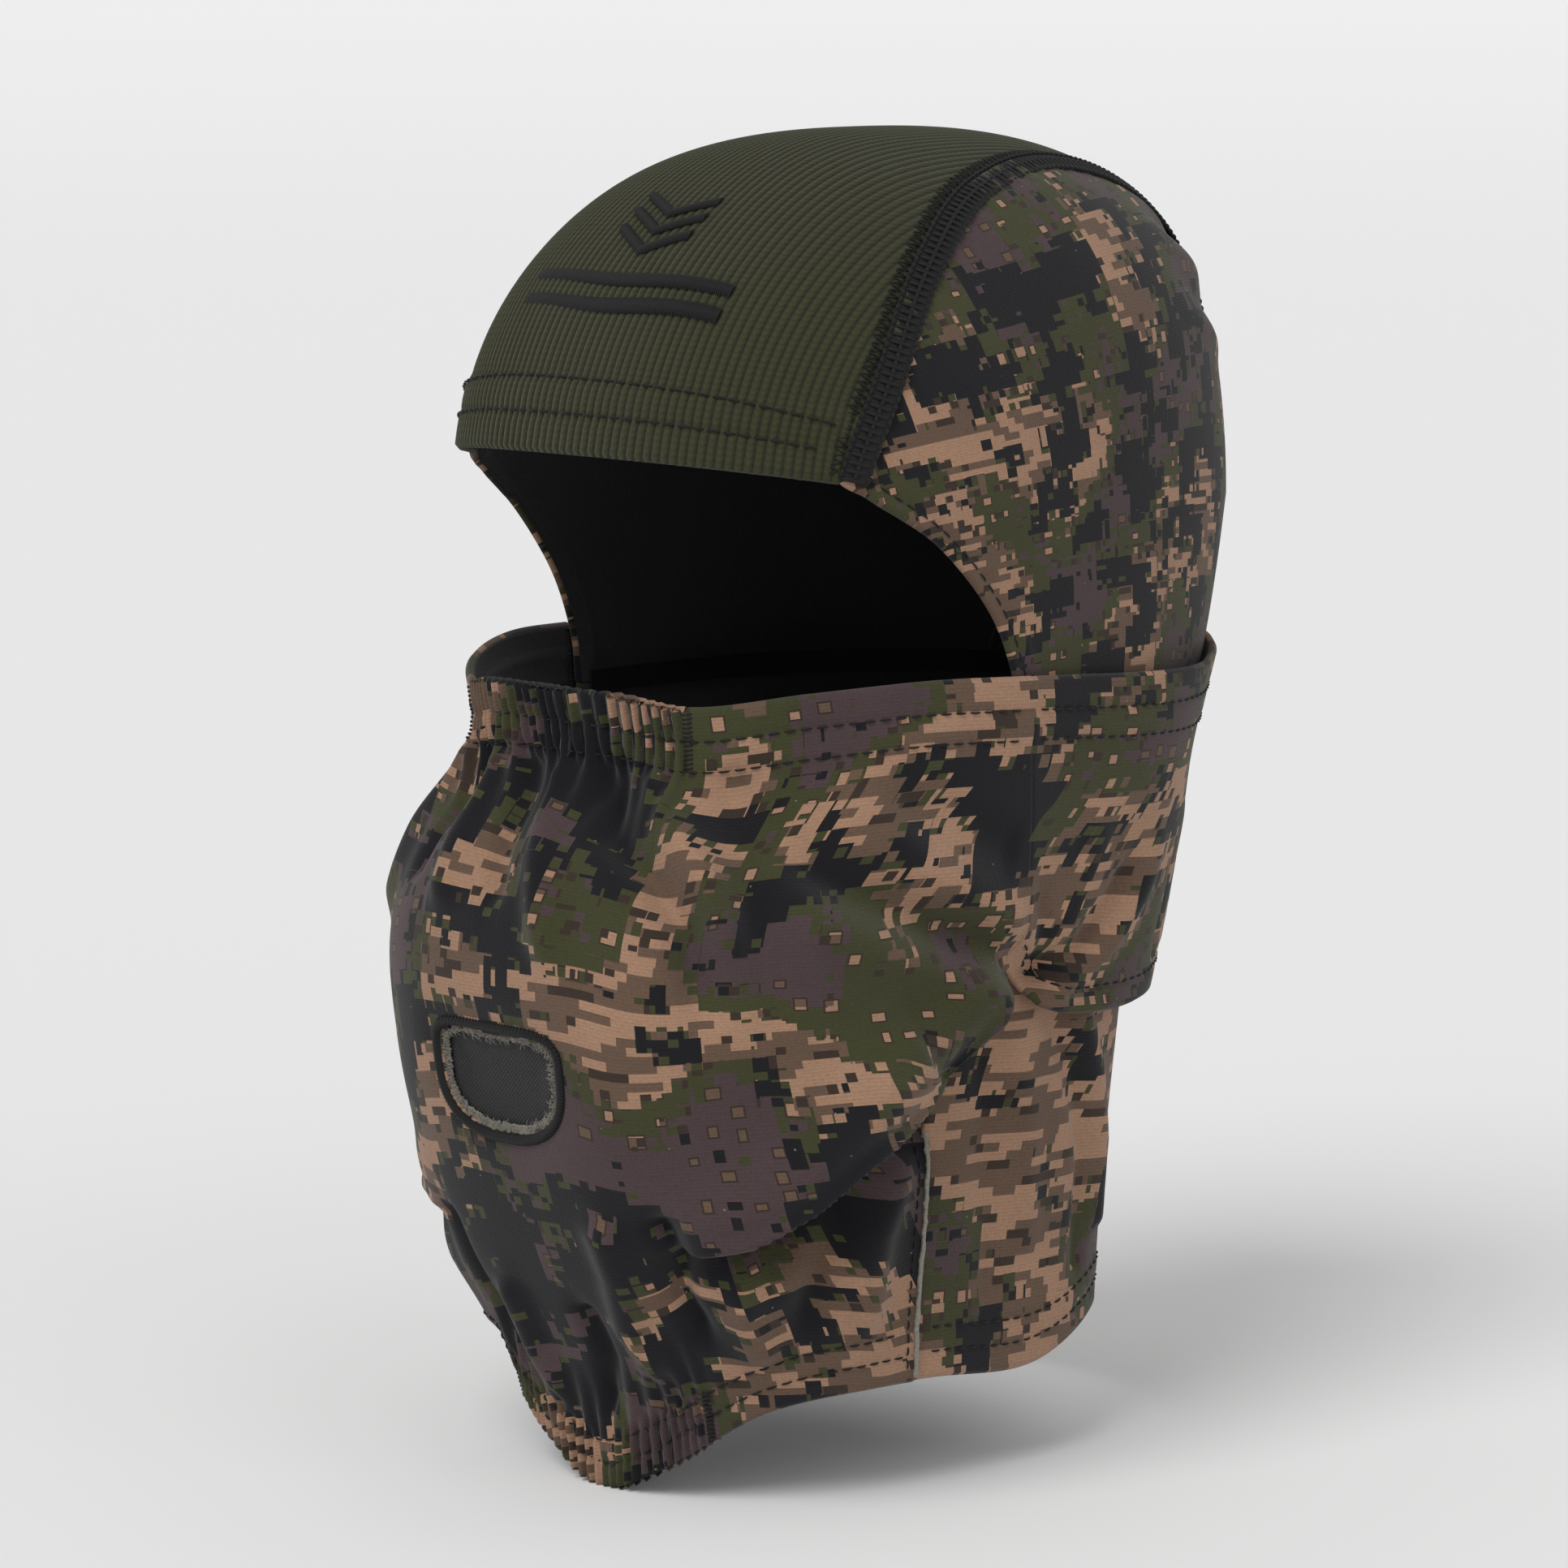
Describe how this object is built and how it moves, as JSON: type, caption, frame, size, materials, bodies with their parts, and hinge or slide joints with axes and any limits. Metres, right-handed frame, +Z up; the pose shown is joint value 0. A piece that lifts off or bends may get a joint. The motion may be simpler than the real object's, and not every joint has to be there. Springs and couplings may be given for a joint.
{
  "type": "camouflage balaclava with pull-down face mask",
  "caption": "Knitted camouflage hood with a ribbed crown strip, an open eye area and a face mask with a mesh mouth vent that pulls down under the chin.",
  "frame": {"origin": "middle of the head at ear level, where a head holds the hood", "axes": "the face opening faces -Y, +Z is up through the crown and +X is the wearer's left"},
  "size_m": [0.17, 0.2293, 0.333],
  "materials": {
    "camo_knit": "brushed knit printed with a small square camouflage",
    "rib_knit": "olive ribbed knit",
    "black_thread": "black sewing thread",
    "embroidery": "black satin stitched embroidery",
    "mesh_knit": "fine black mesh",
    "elastic": "woven elastic"
  },
  "bodies": {
    "hood": {"crown_panel": "rib_knit", "brow_stitching": "black_thread", "crown_emblem": "embroidery", "left_crown_seam": "black_thread", "right_crown_seam": "black_thread", "left_side_panel": "camo_knit", "right_side_panel": "camo_knit", "left_face_stitching": "black_thread", "right_face_stitching": "black_thread", "left_neck_panel": "camo_knit", "right_neck_panel": "camo_knit", "neck_seam": "black_thread", "rear_neck_seam": "black_thread", "front_panel": "camo_knit", "left_side_seam": "black_thread", "right_side_seam": "black_thread", "bottom_elastic": "elastic", "bottom_stitching": "black_thread"},
    "mask": {"mask_front": "camo_knit", "left_mask_wing": "camo_knit", "right_mask_wing": "camo_knit", "left_wing_seam": "black_thread", "right_wing_seam": "black_thread", "rear_band_seam": "black_thread", "mask_top_stitching": "black_thread", "rear_band_stitching": "black_thread", "nose_elastic": "elastic", "elastic_tacks": "black_thread", "mouth_mesh": "mesh_knit", "mouth_edging": "black_thread"}
  },
  "joints": [
    {"name": "mask_pull_down", "type": "slide", "parent": "hood", "child": "mask", "axis": [0, 0, -1], "range_m": [0, 0.085]}
  ]
}
